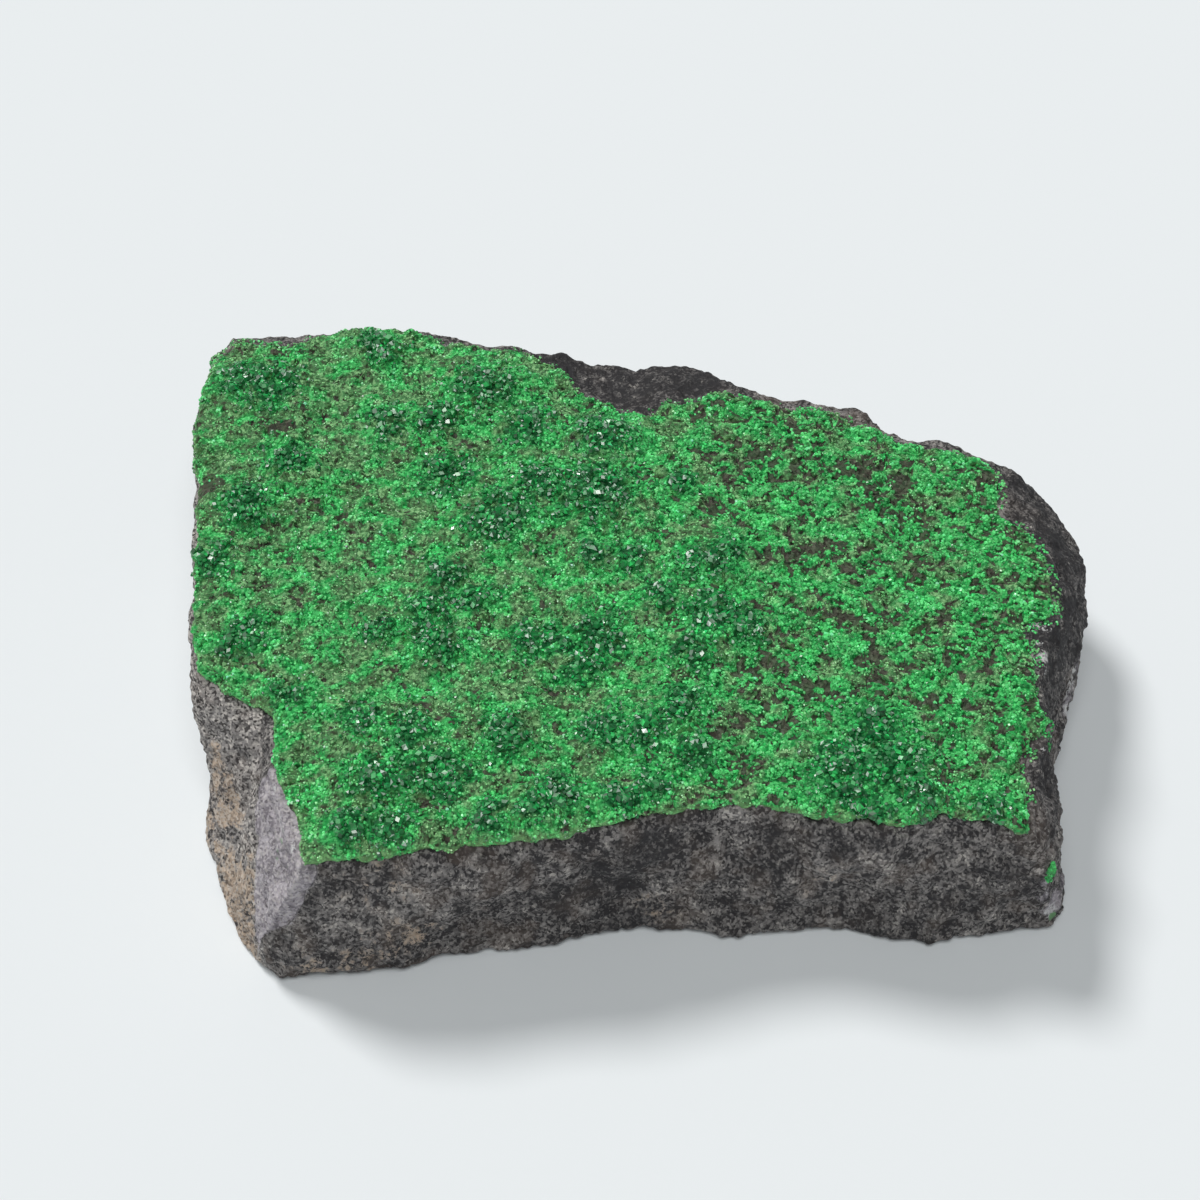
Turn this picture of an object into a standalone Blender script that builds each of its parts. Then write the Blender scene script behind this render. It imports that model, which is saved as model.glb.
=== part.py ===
"""A hand-sized slab of dark chromite rock whose upper face carries a druse of green garnet crystals.

Metres, +Z up. The slab lies on its cut base, its long side runs along X and its front face looks along -Y.
The origin is the middle of the base, under the middle of the whole specimen's box.
"""

import math
import random

import bmesh
import bpy
from mathutils import Vector, noise
from mathutils.bvhtree import BVHTree
from mathutils.geometry import delaunay_2d_cdt

MM = 0.001
UP = Vector((0.0, 0.0, 1.0))

# The slab's upper face, the bed that the garnets grew on, is a very shallow dome
BED_HEIGHT = 24.0 * MM
BED_FALL = 0.45
BED_TOP = Vector((-6.0 * MM, 2.0 * MM))
BED_MESH = 6.5 * MM

# Stations round the slab, anticlockwise from above, in millimetres: the edge of the upper face (x, y),
# the shoulder below it (x, y, drop under the bed) and the foot (x, y)
FRONT_FACE = [
    ((-35.6, -39.4), (-36.4, -40.4, 1.6), (-42.8, -37.8)),
    ((-31.5, -39.2), (-31.8, -40.0, 1.4), (-39.6, -39.8)),
    ((-27.5, -38.8), (-27.6, -39.6, 1.3), (-32.7, -39.1)),
    ((-21.0, -38.0), (-21.0, -38.8, 1.2), (-26.4, -39.0)),
    ((-14.5, -37.2), (-14.4, -38.0, 1.4), (-20.5, -37.0)),
    ((-10.0, -36.2), (-9.8, -37.0, 1.2), (-13.5, -35.9)),
    ((-3.5, -34.8), (-3.4, -35.6, 1.3), (-7.0, -34.4)),
    ((0.5, -34.2), (0.7, -34.9, 1.2), (-0.8, -33.4)),
    ((7.0, -32.3), (7.1, -33.0, 1.5), (5.5, -33.6)),
    ((12.5, -31.8), (12.5, -32.6, 1.4), (11.2, -34.0)),
    ((18.0, -32.3), (17.9, -33.0, 1.3), (18.1, -33.6)),
    ((23.5, -33.8), (23.3, -34.5, 1.2), (25.0, -33.4)),
    ((29.0, -34.3), (29.0, -35.1, 1.4), (29.2, -34.3)),
    ((35.5, -32.8), (35.6, -33.6, 1.3), (34.8, -35.0)),
    ((39.5, -33.8), (39.5, -34.6, 1.6), (42.2, -34.1)),
]
RIGHT_FACE = [
    ((43.6, -34.4), (45.0, -34.9, 2.2), (48.2, -32.6)),
    ((44.4, -30.6), (46.8, -30.6, 4.0), (50.4, -30.6)),
    ((44.8, -26.0), (47.9, -25.6, 5.6), (50.8, -25.4)),
    ((47.2, -20.6), (48.2, -20.2, 6.2), (49.4, -20.4)),
    ((46.8, -15.5), (49.0, -14.4, 6.6), (49.6, -15.2)),
    ((47.6, -10.0), (50.3, -9.2, 7.2), (50.7, -10.0)),
    ((49.7, -4.8), (52.8, -4.4, 7.6), (52.5, -3.6)),
    ((49.8, -0.5), (54.8, 1.6, 7.6), (54.0, 3.4)),
    ((49.9, 4.2), (55.4, 8.2, 7.3), (53.2, 10.0)),
    ((47.9, 8.2), (54.6, 13.2, 6.4), (51.2, 15.2)),
    ((45.6, 12.2), (51.8, 17.2, 5.4), (49.0, 19.2)),
    ((45.6, 16.4), (48.5, 20.4, 3.2), (46.4, 22.4)),
]
BACK_FACE = [
    ((43.5, 19.2), (44.4, 20.8, 1.6), (43.0, 23.8)),
    ((38.4, 21.5), (38.8, 23.6, 1.3), (38.8, 24.6)),
    ((34.2, 22.0), (34.4, 24.4, 1.3), (35.4, 26.2)),
    ((30.4, 23.8), (31.6, 25.8, 1.4), (33.0, 28.6)),
    ((28.2, 26.2), (29.2, 28.7, 1.4), (28.8, 31.4)),
    ((24.4, 27.4), (24.8, 30.1, 1.3), (23.4, 31.4)),
    ((19.0, 28.6), (19.4, 30.6, 1.2), (17.6, 32.0)),
    ((13.4, 30.4), (14.0, 33.3, 1.4), (13.0, 33.8)),
    ((10.4, 30.2), (11.0, 35.8, 1.6), (10.4, 35.0)),
    ((7.4, 29.2), (8.0, 37.4, 1.7), (7.6, 35.6)),
    ((4.6, 28.8), (5.0, 37.2, 1.6), (4.4, 35.6)),
    ((1.2, 27.2), (1.2, 36.9, 2.4), (0.6, 33.2)),
    ((-1.6, 27.2), (-2.0, 37.8, 1.9), (-2.4, 33.2)),
    ((-5.6, 30.4), (-6.2, 38.1, 1.7), (-7.0, 34.6)),
    ((-9.0, 35.4), (-9.4, 38.3, 1.5), (-12.0, 36.4)),
    ((-14.0, 38.2), (-14.2, 40.5, 1.3), (-17.6, 37.0)),
    ((-20.8, 38.6), (-21.0, 40.7, 1.4), (-23.4, 36.6)),
    ((-25.0, 40.6), (-25.0, 42.8, 1.2), (-28.0, 38.6)),
    ((-30.8, 41.5), (-30.8, 43.0, 1.1), (-31.5, 40.2)),
    ((-35.0, 41.7), (-35.4, 43.3, 1.3), (-34.5, 40.6)),
    ((-38.6, 40.7), (-38.8, 42.8, 1.4), (-38.6, 40.4)),
    ((-43.6, 39.9), (-44.0, 43.0, 1.4), (-42.4, 39.0)),
    ((-48.9, 40.1), (-49.8, 42.6, 1.4), (-46.4, 37.4)),
]
LEFT_FACE = [
    ((-51.2, 37.6), (-51.8, 38.8, 1.5), (-48.8, 34.0)),
    ((-52.2, 32.8), (-52.9, 33.4, 1.8), (-49.8, 29.4)),
    ((-52.9, 25.4), (-53.3, 25.4, 1.6), (-50.2, 23.4)),
    ((-51.9, 18.6), (-52.2, 18.4, 1.5), (-50.8, 17.4)),
    ((-51.3, 11.0), (-51.6, 11.0, 1.4), (-51.2, 11.4)),
    ((-50.7, 2.0), (-50.9, 2.0, 1.4), (-50.2, 3.0)),
    ((-50.1, -5.0), (-50.3, -5.0, 1.5), (-49.6, -4.4)),
    ((-49.1, -13.4), (-49.4, -13.9, 1.6), (-49.7, -11.8)),
]
BROKEN_CORNER = [
    ((-45.2, -16.6), (-45.8, -17.6, 1.8), (-49.3, -20.8)),
    ((-40.1, -19.8), (-41.1, -20.9, 2.0), (-47.8, -26.5)),
    ((-39.9, -22.6), (-41.0, -23.4, 2.2), (-46.3, -29.5)),
    ((-39.7, -25.3), (-40.5, -25.9, 2.2), (-45.0, -34.4)),
    ((-38.7, -30.2), (-39.4, -30.8, 2.0), (-44.4, -35.8)),
    ((-36.4, -36.0), (-37.3, -36.6, 2.0), (-43.7, -37.0)),
]
STATIONS = FRONT_FACE + RIGHT_FACE + BACK_FACE + LEFT_FACE + BROKEN_CORNER

# Shell-shaped hollows that the fracture left, in millimetres: x, y, z, radius and depth
HOLLOWS = [
    (26.0, -36.0, 8.5, 7.5, 1.2), (-1.5, -37.0, 12.0, 7.0, 0.9), (-15.5, -38.5, 7.5, 6.5, 1.0),
    (-24.0, -39.5, 6.0, 5.0, 0.6), (9.0, -35.0, 17.0, 6.0, 0.8), (37.0, -36.0, 18.0, 6.0, 0.8),
    (-33.0, -40.5, 15.0, 6.0, 0.8), (-48.5, -24.0, 13.0, 6.5, 1.0), (-50.5, 4.0, 12.0, 8.0, 0.8),
    (-5.0, 33.5, 22.5, 5.6, 1.1), (-1.0, 31.0, 22.5, 5.0, 0.7), (8.5, 33.5, 22.5, 4.4, 0.5),
    (51.0, -16.0, 12.0, 7.0, 1.0), (53.0, 6.0, 10.0, 7.0, 0.8), (28.0, 29.0, 12.0, 8.0, 1.2),
    (-20.0, 39.0, 11.0, 8.0, 1.2), (-40.0, 40.5, 13.0, 7.0, 1.0), (2.0, 35.0, 10.0, 7.0, 0.9),
]

# Rows of the broken walls, as shares of the way from shoulder to foot, with how far each row bellies out
WALL_ROWS = [
    (0.0, 0.0),
    (0.16, 0.2),
    (0.33, 0.35),
    (0.5, 0.3),
    (0.67, 0.1),
    (0.84, 0.05),
    (1.0, 0.0),
]
WALL_STEP = 3.1 * MM
BEVEL_BELLY = 0.06
FOOT_HEIGHT = 0.9 * MM
BASE_INSET = 1.5 * MM

# Fracture relief of the walls: size of the lumps and how far they stand out
LUMPS = [(13.0 * MM, 0.9 * MM), (4.6 * MM, 0.8 * MM)]

# Edge of the garnet crust on the bed, in millimetres, anticlockwise from the front left corner
CRUST_EDGE = [
    (-35.3, -39.9), (-30.5, -39.4), (-25.0, -39.2), (-21.8, -38.2), (-17.5, -38.0), (-12.5, -37.2),
    (-8.0, -36.6), (-1.5, -35.0), (3.0, -33.7), (7.0, -32.8), (11.5, -32.5), (14.0, -32.6),
    (18.0, -33.2), (21.0, -34.0), (25.5, -34.9), (28.0, -35.0), (31.5, -34.6), (34.0, -33.4),
    (38.0, -34.2), (40.5, -34.8), (43.4, -35.2), (43.7, -32.0), (44.0, -29.2), (43.2, -27.2),
    (43.4, -24.8), (44.8, -22.6), (46.7, -21.0), (47.0, -19.2), (45.4, -15.8), (46.6, -12.8),
    (46.2, -10.4), (45.7, -8.2), (45.4, -6.4), (47.0, -5.7), (49.1, -5.2), (49.0, -2.8),
    (49.4, 0.6), (49.3, 3.2), (48.3, 6.2), (46.8, 8.2), (44.6, 9.8), (44.5, 12.2),
    (44.2, 14.6), (44.7, 17.0), (43.2, 18.7), (39.9, 20.6), (36.2, 21.4), (33.0, 21.9), (29.4, 24.4),
    (26.0, 26.6), (18.5, 28.2), (13.5, 29.8), (11.0, 30.4), (9.0, 28.8), (6.5, 28.6),
    (4.2, 28.0), (2.6, 26.0), (-0.8, 26.6), (-4.8, 29.2), (-7.4, 32.6), (-9.8, 35.8),
    (-15.0, 37.8), (-22.5, 39.0), (-25.2, 40.5), (-31.0, 41.7), (-35.2, 41.5), (-40.0, 39.9),
    (-42.8, 38.8), (-48.6, 39.7), (-51.2, 37.4), (-52.6, 32.4), (-52.9, 24.0), (-51.4, 12.0),
    (-50.8, 2.0), (-50.3, -6.0), (-49.2, -13.6), (-44.8, -17.0), (-39.9, -20.2), (-39.5, -25.4),
    (-38.5, -30.0), (-36.8, -33.4), (-36.0, -36.2),
]
CRUST_GAP = 0.35 * MM
CRUST_THICKNESS = 1.25 * MM
CRUST_EDGE_THICKNESS = 0.75 * MM
CRUST_EDGE_WIDTH = 3.0 * MM
CRUST_EDGE_STEP = 2.5 * MM
SWELLS = (10.0 * MM, 0.7 * MM)

# Nests where the garnets grew coarser, in millimetres: x, y, radius, and the swelling or hollow there
NESTS = [
    (-3.0, 21.0, 4.0, 0.5), (-4.5, 11.5, 6.2, 1.2), (-13.5, 10.0, 5.6, 1.0), (-22.0, 15.0, 3.6, -0.7),
    (-17.0, 27.5, 5.4, 0.9), (-46.5, 31.0, 5.0, 0.8), (-31.0, 36.5, 3.4, 0.6), (-24.0, 24.0, 3.4, 0.5),
    (-43.0, 13.0, 6.0, 0.7), (-46.5, -9.0, 4.4, -0.5), (-22.5, -8.5, 4.6, 0.6), (-10.5, -10.5, 3.6, -0.8),
    (-3.6, -10.2, 4.2, -0.8), (9.5, 0.6, 3.4, 0.6), (9.5, -8.4, 4.6, 0.8), (27.5, -22.6, 4.2, -1.0),
    (24.0, -29.6, 5.6, -0.9), (-28.0, -30.0, 5.0, 0.8), (-16.0, -25.0, 4.2, 0.6), (-10.0, -32.6, 4.0, 0.7),
    (6.0, -23.0, 3.4, 0.5), (31.0, -31.0, 3.2, 0.4), (-28.0, -35.0, 3.6, 0.5), (-39.5, -19.0, 2.6, 0.3),
]
CRYSTAL_STEP = 3.0 * MM
CRYSTAL_JITTER = 0.3
CRYSTAL_HEIGHT = 0.6 * MM
NEST_CRYSTAL_HEIGHT = 0.55 * MM
CRYSTAL_LEAN = 0.3 * MM
VALLEY_DEPTH = 0.22 * MM
CRUST_BACK_MESH = 8.0 * MM

# A small patch of garnets low on the front right corner: its middle, the level way it faces and half sizes
PATCH_MIDDLE = Vector((46.2, -33.6, 13.6)) * MM
PATCH_OUT = Vector((0.6, -0.8, 0.0))
PATCH_HALF = (1.3 * MM, 2.1 * MM)
PATCH_GAP = 0.35 * MM
PATCH_THICKNESS = 0.7 * MM
PATCH_CRYSTAL = 0.4 * MM
PATCH_POINTS = 11
PATCH_STEP = 0.9 * MM

ROCK_COLOUR = (0.055, 0.052, 0.054, 1.0)
GARNET_COLOUR = (0.020, 0.300, 0.060, 1.0)


def clear_scene():
    """Removes whatever the file holds."""
    for thing in list(bpy.data.objects):
        bpy.data.objects.remove(thing, do_unlink=True)


def principled(name, colour, roughness):
    """A plain mineral surface of one colour."""
    material = bpy.data.materials.new(name)
    material.use_nodes = True
    shader = material.node_tree.nodes["Principled BSDF"]
    shader.inputs["Base Color"].default_value = colour
    shader.inputs["Roughness"].default_value = roughness
    shader.inputs["Metallic"].default_value = 0.0
    return material


def add_solid(name, bm, material):
    """Turns a closed bmesh into a named object with flat, broken-looking faces."""
    bmesh.ops.recalc_face_normals(bm, faces=bm.faces)
    mesh = bpy.data.meshes.new(name)
    bm.to_mesh(mesh)
    bm.free()
    mesh.materials.append(material)
    solid = bpy.data.objects.new(name, mesh)
    bpy.context.scene.collection.objects.link(solid)
    return solid


def relief(point, size, seed):
    """Smooth noise of about -1 to 1 whose lumps are about `size` across."""
    return noise.noise(point / size + Vector((seed, 1.7 * seed, -seed)))


def bed(x, y):
    """Height of the slab's upper face."""
    away = (Vector((x, y)) - BED_TOP).length
    return BED_HEIGHT - BED_FALL * away * away


def cross(loop, x, y):
    """True if (x, y) lies inside a closed outline."""
    inside = False
    for (ax, ay), (bx, by) in zip(loop, loop[1:] + loop[:1]):
        if (ay > y) != (by > y) and x < ax + (bx - ax) * (y - ay) / (by - ay):
            inside = not inside
    return inside


def distance_to(loop, x, y):
    """Shortest way from (x, y) to a closed outline."""
    point = Vector((x, y))
    nearest = math.inf
    for a, b in zip(loop, loop[1:] + loop[:1]):
        start, along = Vector(a), Vector(b) - Vector(a)
        share = max(0.0, min(1.0, (point - start).dot(along) / along.length_squared))
        nearest = min(nearest, (point - start - along * share).length)
    return nearest


def stepped(loop, step):
    """The same closed outline with points about `step` apart."""
    points = []
    for a, b in zip(loop, loop[1:] + loop[:1]):
        start, along = Vector(a), Vector(b) - Vector(a)
        pieces = max(1, round(along.length / step))
        points += [tuple(start + along * (i / pieces)) for i in range(pieces)]
    return points


def hex_points(loop, step, jitter, margin, rng):
    """Points of a jittered triangular lattice that lie inside an outline, at least `margin` from it."""
    xs, ys = [p[0] for p in loop], [p[1] for p in loop]
    points = []
    row_gap = step * math.sqrt(3) / 2
    for row in range(int((max(ys) - min(ys)) / row_gap) + 2):
        for column in range(int((max(xs) - min(xs)) / step) + 2):
            x = min(xs) + (column + 0.5 * (row % 2)) * step + rng.uniform(-jitter, jitter) * step
            y = min(ys) + row * row_gap + rng.uniform(-jitter, jitter) * step
            if cross(loop, x, y) and distance_to(loop, x, y) > margin:
                points.append((x, y))
    return points


def triangulated(loop, inner):
    """Triangles over an outline and the points inside it, as (points, triangles), facing up."""
    flat = [Vector(p) for p in loop + inner]
    ring = list(range(len(loop)))
    points, _, triangles, *_ = delaunay_2d_cdt(flat, [], [ring], 1, 1e-7)
    return [tuple(p) for p in points], triangles


def in_metres(outline):
    return [(x * MM, y * MM) for x, y in outline]


# The rock

def station_columns():
    """Positions round the slab, from station to station, each as (edge, shoulder, foot) vectors."""
    columns = []
    for here, after in zip(STATIONS, STATIONS[1:] + STATIONS[:1]):
        ends = []
        for edge, shoulder, foot in (here, after):
            ex, ey = edge[0] * MM, edge[1] * MM
            sx, sy, drop = (v * MM for v in shoulder)
            fx, fy = foot[0] * MM, foot[1] * MM
            ends.append((
                Vector((ex, ey, bed(ex, ey))),
                Vector((sx, sy, bed(sx, sy) - drop)),
                Vector((fx, fy, FOOT_HEIGHT)),
            ))
        reach = max((b - a).length for a, b in zip(*ends))
        pieces = max(1, round(reach / WALL_STEP))
        for i in range(pieces):
            columns.append([a.lerp(b, i / pieces) for a, b in zip(*ends)])
    for column in columns:
        column[0].z = bed(column[0].x, column[0].y)
    return columns


def outward(columns, i):
    """Level direction that leads out of the slab at a column."""
    before, after = columns[i - 1][2], columns[(i + 1) % len(columns)][2]
    along = after - before
    return Vector((along.y, -along.x, 0.0)).normalized()


def hollowed(point, out):
    """The point, moved against `out` where it lies in one of the fracture's hollows."""
    sunk = point.copy()
    for x, y, z, radius, depth in HOLLOWS:
        away = (point - Vector((x, y, z)) * MM).length / (radius * MM)
        if away < 1.0:
            sunk -= out * depth * MM * (1.0 - away * away)
    return sunk


def bevel_point(column, out):
    """A point of the bevel between the upper face's edge and the shoulder."""
    edge, shoulder, _ = column
    reach = (shoulder - edge).length
    middle = edge.lerp(shoulder, 0.5)
    middle.z += reach * (BEVEL_BELLY + 0.08 * relief(middle, LUMPS[1][0], 13.0))
    return hollowed(middle, UP * 0.9 + out * 0.3)


def wall_point(column, out, share, belly):
    """A point of the broken wall: on the way from shoulder to foot, moved out by the belly and the lumps."""
    point = column[1].lerp(column[2], share)
    if share == 0.0:
        out = out * 0.3 + UP * 0.9
    lumps = sum(size * relief(point, scale, 3.0 + i) for i, (scale, size) in enumerate(LUMPS))
    rise = 0.5 * LUMPS[1][1] * relief(point, LUMPS[1][0], 9.0)
    return hollowed(point + out * (belly * MM + lumps) + Vector((0.0, 0.0, rise)), out)


def build_rock(material):
    """The slab: bed, bevelled shoulder, broken walls and the flat base it lies on."""
    columns = station_columns()
    count = len(columns)
    bm = bmesh.new()
    rings = [[bm.verts.new(column[0]) for column in columns]]
    rings.append([bm.verts.new(bevel_point(c, outward(columns, i))) for i, c in enumerate(columns)])
    for share, belly in WALL_ROWS:
        rings.append([
            bm.verts.new(wall_point(column, outward(columns, i), share, belly))
            for i, column in enumerate(columns)
        ])
    foot = rings[-1]
    base = []
    for i, vert in enumerate(foot):
        inset = BASE_INSET * (1.0 + 0.4 * relief(vert.co, LUMPS[1][0], 21.0))
        spot = vert.co - outward(columns, i) * inset
        base.append(bm.verts.new((spot.x, spot.y, 0.0)))
    rings.append(base)
    for upper, lower in zip(rings, rings[1:]):
        for i in range(count):
            j = (i + 1) % count
            bm.faces.new((upper[i], lower[i], lower[j], upper[j]))
    bm.faces.new(list(reversed(base)))

    edge = [(column[0].x, column[0].y) for column in columns]
    inner = hex_points(edge, BED_MESH, 0.15, 0.5 * BED_MESH, random.Random(5))
    points, triangles = triangulated(edge, inner)
    bed_verts = rings[0] + [bm.verts.new((x, y, bed(x, y))) for x, y in points[count:]]
    for corners in triangles:
        bm.faces.new([bed_verts[c] for c in corners])
    return add_solid("chromite_rock", bm, material)


# The garnets

def nest_share(x, y):
    """How coarse the garnets are at a place, from 0 to 1, and how far the crust swells or sinks there."""
    coarse, swell = 0.0, 0.0
    for nx, ny, radius, height in NESTS:
        away = math.hypot(x - nx * MM, y - ny * MM) / (radius * MM)
        bell = math.exp(-away * away)
        coarse = max(coarse, bell)
        swell += bell * height * MM
    return coarse, swell


def crust_top(x, y, edge):
    """Height of the crust between its crystals."""
    size, height = SWELLS
    _, swell = nest_share(x, y)
    place = Vector((x, y, 0.0))
    inside = min(1.0, distance_to(edge, x, y) / CRUST_EDGE_WIDTH)
    thick = CRUST_THICKNESS + swell + height * relief(place, size, 31.0)
    thick = max(thick, 0.8 * CRUST_EDGE_THICKNESS)
    return bed(x, y) + CRUST_GAP + CRUST_EDGE_THICKNESS * (1.0 - inside) + thick * inside


def raise_crystals(bm, faces, height_at, rng):
    """Makes a three-sided crystal point of each face."""
    made = bmesh.ops.poke(bm, faces=faces, center_mode="MEAN")
    for tip in made["verts"]:
        lean = Vector((rng.uniform(-1, 1), rng.uniform(-1, 1), 0.0)) * CRYSTAL_LEAN
        tip.co += lean + height_at(tip.co)


def build_crust(material):
    """The druse: a thin crust on the bed whose upper side is all crystal points."""
    rng = random.Random(11)
    edge = in_metres(CRUST_EDGE)
    fine_edge = stepped(edge, CRUST_EDGE_STEP)
    inner = hex_points(fine_edge, CRYSTAL_STEP, CRYSTAL_JITTER, 0.55 * CRYSTAL_STEP, rng)
    points, triangles = triangulated(fine_edge, inner)
    bm = bmesh.new()
    count = len(fine_edge)
    top = []
    for i, (x, y) in enumerate(points):
        z = crust_top(x, y, edge)
        if i >= count:
            z -= VALLEY_DEPTH * rng.uniform(-1.0, 1.0)
        top.append(bm.verts.new((x, y, z)))
    faces = [bm.faces.new([top[c] for c in corners]) for corners in triangles]

    inner = hex_points(fine_edge, CRUST_BACK_MESH, 0.1, 0.5 * CRUST_BACK_MESH, rng)
    points, triangles = triangulated(fine_edge, inner)
    back = [bm.verts.new((x, y, bed(x, y) + CRUST_GAP)) for x, y in points]
    for corners in triangles:
        bm.faces.new([back[c] for c in reversed(corners)])
    for i in range(count):
        j = (i + 1) % count
        bm.faces.new((top[j], top[i], back[i], back[j]))

    def crystal_height(place):
        coarse, _ = nest_share(place.x, place.y)
        height = CRYSTAL_HEIGHT * rng.uniform(0.55, 1.25) + NEST_CRYSTAL_HEIGHT * coarse
        return Vector((0.0, 0.0, height))

    raise_crystals(bm, faces, crystal_height, rng)
    return add_solid("garnet_crust", bm, material)


def build_patch(rock, material):
    """The small patch of garnets that stands on the slab's front right corner."""
    rng = random.Random(17)
    tree = BVHTree.FromObject(rock, bpy.context.evaluated_depsgraph_get())
    sideways = UP.cross(PATCH_OUT)
    ring = []
    for i in range(PATCH_POINTS):
        angle = 2.0 * math.pi * i / PATCH_POINTS
        reach = rng.uniform(0.78, 1.12)
        ring.append((PATCH_HALF[0] * reach * math.cos(angle), PATCH_HALF[1] * reach * math.sin(angle)))
    inner = hex_points(ring, PATCH_STEP, CRYSTAL_JITTER, 0.4 * PATCH_STEP, rng)
    points, triangles = triangulated(ring, inner)

    def on_wall(across, up):
        start = PATCH_MIDDLE + sideways * across + UP * up + PATCH_OUT
        return tree.ray_cast(start, -PATCH_OUT)[0]

    bm = bmesh.new()
    back = [bm.verts.new(on_wall(a, b) + PATCH_OUT * PATCH_GAP) for a, b in points]
    top = [bm.verts.new(vert.co + PATCH_OUT * PATCH_THICKNESS) for vert in back]
    faces = [bm.faces.new([top[c] for c in corners]) for corners in triangles]
    for corners in triangles:
        bm.faces.new([back[c] for c in reversed(corners)])
    for i in range(PATCH_POINTS):
        j = (i + 1) % PATCH_POINTS
        bm.faces.new((top[j], top[i], back[i], back[j]))

    def crystal_height(_place):
        return PATCH_OUT * PATCH_CRYSTAL * rng.uniform(0.7, 1.3)

    raise_crystals(bm, faces, crystal_height, rng)
    return add_solid("side_garnets", bm, material)


def stand_on_origin(solids):
    """Moves all the solids so that the origin is the middle of the foot of their common box."""
    corners = [v.co for solid in solids for v in solid.data.vertices]
    low = Vector([min(c[i] for c in corners) for i in range(3)])
    high = Vector([max(c[i] for c in corners) for i in range(3)])
    shift = Vector((-(low.x + high.x) / 2, -(low.y + high.y) / 2, -low.z))
    for solid in solids:
        for vert in solid.data.vertices:
            vert.co += shift


clear_scene()
rock_finish = principled("chromite_rock", ROCK_COLOUR, 0.85)
garnet_finish = principled("green_garnet", GARNET_COLOUR, 0.3)
rock_solid = build_rock(rock_finish)
crust_solid = build_crust(garnet_finish)
patch_solid = build_patch(rock_solid, garnet_finish)
stand_on_origin([rock_solid, crust_solid, patch_solid])
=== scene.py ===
import math

import bmesh
import bpy
import numpy as np
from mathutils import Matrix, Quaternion, Vector, noise
from mathutils.bvhtree import BVHTree


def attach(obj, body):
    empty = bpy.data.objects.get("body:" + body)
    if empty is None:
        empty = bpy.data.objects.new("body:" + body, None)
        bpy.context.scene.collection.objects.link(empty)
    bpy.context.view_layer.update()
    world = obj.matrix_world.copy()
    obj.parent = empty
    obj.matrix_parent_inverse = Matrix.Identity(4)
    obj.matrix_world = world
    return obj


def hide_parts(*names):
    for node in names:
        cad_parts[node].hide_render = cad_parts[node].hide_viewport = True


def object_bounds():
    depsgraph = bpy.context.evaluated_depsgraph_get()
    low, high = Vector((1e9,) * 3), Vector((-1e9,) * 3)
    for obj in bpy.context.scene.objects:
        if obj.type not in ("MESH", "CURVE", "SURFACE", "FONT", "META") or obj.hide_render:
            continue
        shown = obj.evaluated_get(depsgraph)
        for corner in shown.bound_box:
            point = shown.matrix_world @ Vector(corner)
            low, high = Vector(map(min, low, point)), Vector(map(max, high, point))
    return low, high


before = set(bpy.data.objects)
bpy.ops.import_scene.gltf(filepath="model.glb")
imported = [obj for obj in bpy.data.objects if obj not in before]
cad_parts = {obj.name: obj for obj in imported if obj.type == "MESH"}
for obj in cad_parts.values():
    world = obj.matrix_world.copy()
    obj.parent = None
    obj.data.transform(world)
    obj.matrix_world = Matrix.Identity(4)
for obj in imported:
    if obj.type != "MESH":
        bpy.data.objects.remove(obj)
cad_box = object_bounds()

# The slab: a block of chromite rock, black metal ore grains with pale grains between them. It was broken
# off by hammer, so its walls are rough fractures, weathered grey and stained tan towards the foot, and
# darker where the break is fresh, along the right bevel and in the shell-shaped break at the back.

MM = 0.001
# Places in this file are in millimetres from a point on the base close to the part's origin
GRID_ZERO = np.array([-0.78, -1.24, 0.0])
WELD_GAP = 1e-5
ROCK_SPLITS = 3
ROCK_SOFTENING = 4
ROCK_THINNING = 0.74
# The bed under the druse: where it starts, how much deeper it lies and how far inside the druse's rim
BED_LEVEL = 20 * MM
BED_DROP = 0.8 * MM
BED_REACH = 1.8 * MM


def srgb(red, green, blue):
    """A linear colour from the 0 to 255 values that a screen shows."""
    values = [v / 255 for v in (red, green, blue)]
    return tuple(v / 12.92 if v <= 0.04045 else ((v + 0.055) / 1.055) ** 2.4 for v in values) + (1.0,)


class Wire:
    """A value in a material; arithmetic on it adds Math nodes."""

    def __init__(self, finish, socket):
        self.finish = finish
        self.socket = socket

    def _math(self, operation, first, second):
        return self.finish.node("ShaderNodeMath", {"operation": operation}, {0: first, 1: second})

    def __add__(self, other):
        return self._math("ADD", self, other)

    __radd__ = __add__

    def __mul__(self, other):
        return self._math("MULTIPLY", self, other)

    __rmul__ = __mul__

    def __sub__(self, other):
        return self._math("SUBTRACT", self, other)

    def __rsub__(self, other):
        return self._math("SUBTRACT", other, self)

    def above(self, start, end):
        """0 below start, 1 above end, smooth between."""
        settings = {"interpolation_type": "SMOOTHSTEP"}
        return self.finish.node("ShaderNodeMapRange", settings, {0: self, 1: start, 2: end})


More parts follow.
